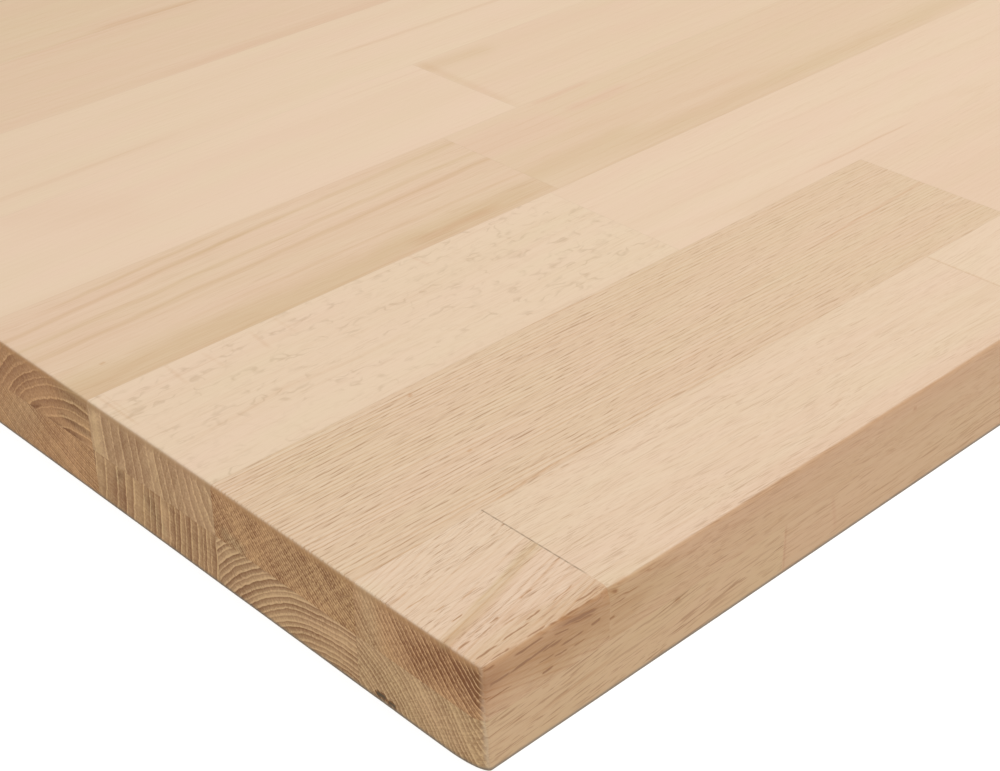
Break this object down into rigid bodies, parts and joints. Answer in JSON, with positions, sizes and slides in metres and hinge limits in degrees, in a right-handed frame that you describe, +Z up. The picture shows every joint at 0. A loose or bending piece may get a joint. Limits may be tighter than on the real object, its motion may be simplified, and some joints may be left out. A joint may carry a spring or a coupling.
{
  "type": "butcher block countertop",
  "caption": "Butcher block countertop: oak staves butted end to end in rows, glued in two layers, with eased edges, lying flat.",
  "frame": {"origin": "middle of the underside, on the plane that the underside rests on", "axes": "+X along the staves and the length, +Y across the rows from the front edge to the back edge, +Z up through the thickness"},
  "size_m": [1.2, 0.6, 0.04],
  "materials": {
    "oak_cream": "sanded bare oak, pale cream, fine pores",
    "oak_straw": "sanded bare oak, straw coloured, open pores",
    "oak_tan": "sanded bare oak, warm tan, long open pores",
    "oak_brown": "sanded bare oak, brown heartwood, dark streaks"
  },
  "bodies": {
    "root": {"bottom_row1_stave1": "oak_straw", "bottom_row1_stave2": "oak_tan", "bottom_row1_stave3": "oak_cream", "bottom_row1_stave4": "oak_tan", "bottom_row2_stave1": "oak_tan", "bottom_row2_stave2": "oak_cream", "bottom_row2_stave3": "oak_straw", "bottom_row3_stave1": "oak_straw", "bottom_row3_stave2": "oak_tan", "bottom_row3_stave3": "oak_brown", "bottom_row4_stave1": "oak_straw", "bottom_row4_stave2": "oak_tan", "bottom_row4_stave3": "oak_cream", "bottom_row5_stave1": "oak_tan", "bottom_row5_stave2": "oak_brown", "bottom_row5_stave3": "oak_straw", "bottom_row6_stave1": "oak_cream", "bottom_row6_stave2": "oak_straw", "bottom_row6_stave3": "oak_tan", "bottom_row7_stave1": "oak_tan", "bottom_row7_stave2": "oak_straw", "bottom_row7_stave3": "oak_cream", "bottom_row8_stave1": "oak_brown", "bottom_row8_stave2": "oak_tan", "bottom_row8_stave3": "oak_straw", "bottom_row9_stave1": "oak_straw", "bottom_row9_stave2": "oak_cream", "bottom_row9_stave3": "oak_tan", "top_row1_stave1": "oak_straw", "top_row1_stave2": "oak_cream", "top_row1_stave3": "oak_tan", "top_row1_stave4": "oak_straw", "top_row1_stave5": "oak_tan", "top_row2_stave1": "oak_tan", "top_row2_stave2": "oak_straw", "top_row2_stave3": "oak_tan", "top_row3_stave1": "oak_cream", "top_row3_stave2": "oak_straw", "top_row3_stave3": "oak_tan", "top_row3_stave4": "oak_cream", "top_row4_stave1": "oak_straw", "top_row4_stave2": "oak_tan", "top_row4_stave3": "oak_cream", "top_row4_stave4": "oak_brown", "top_row5_stave1": "oak_cream", "top_row5_stave2": "oak_tan", "top_row5_stave3": "oak_straw", "top_row6_stave1": "oak_tan", "top_row6_stave2": "oak_cream", "top_row6_stave3": "oak_tan", "top_row7_stave1": "oak_brown", "top_row7_stave2": "oak_straw", "top_row7_stave3": "oak_tan", "top_row8_stave1": "oak_straw", "top_row8_stave2": "oak_tan", "top_row8_stave3": "oak_cream", "top_row9_stave1": "oak_tan", "top_row9_stave2": "oak_brown", "top_row9_stave3": "oak_straw"}
  },
  "joints": []
}
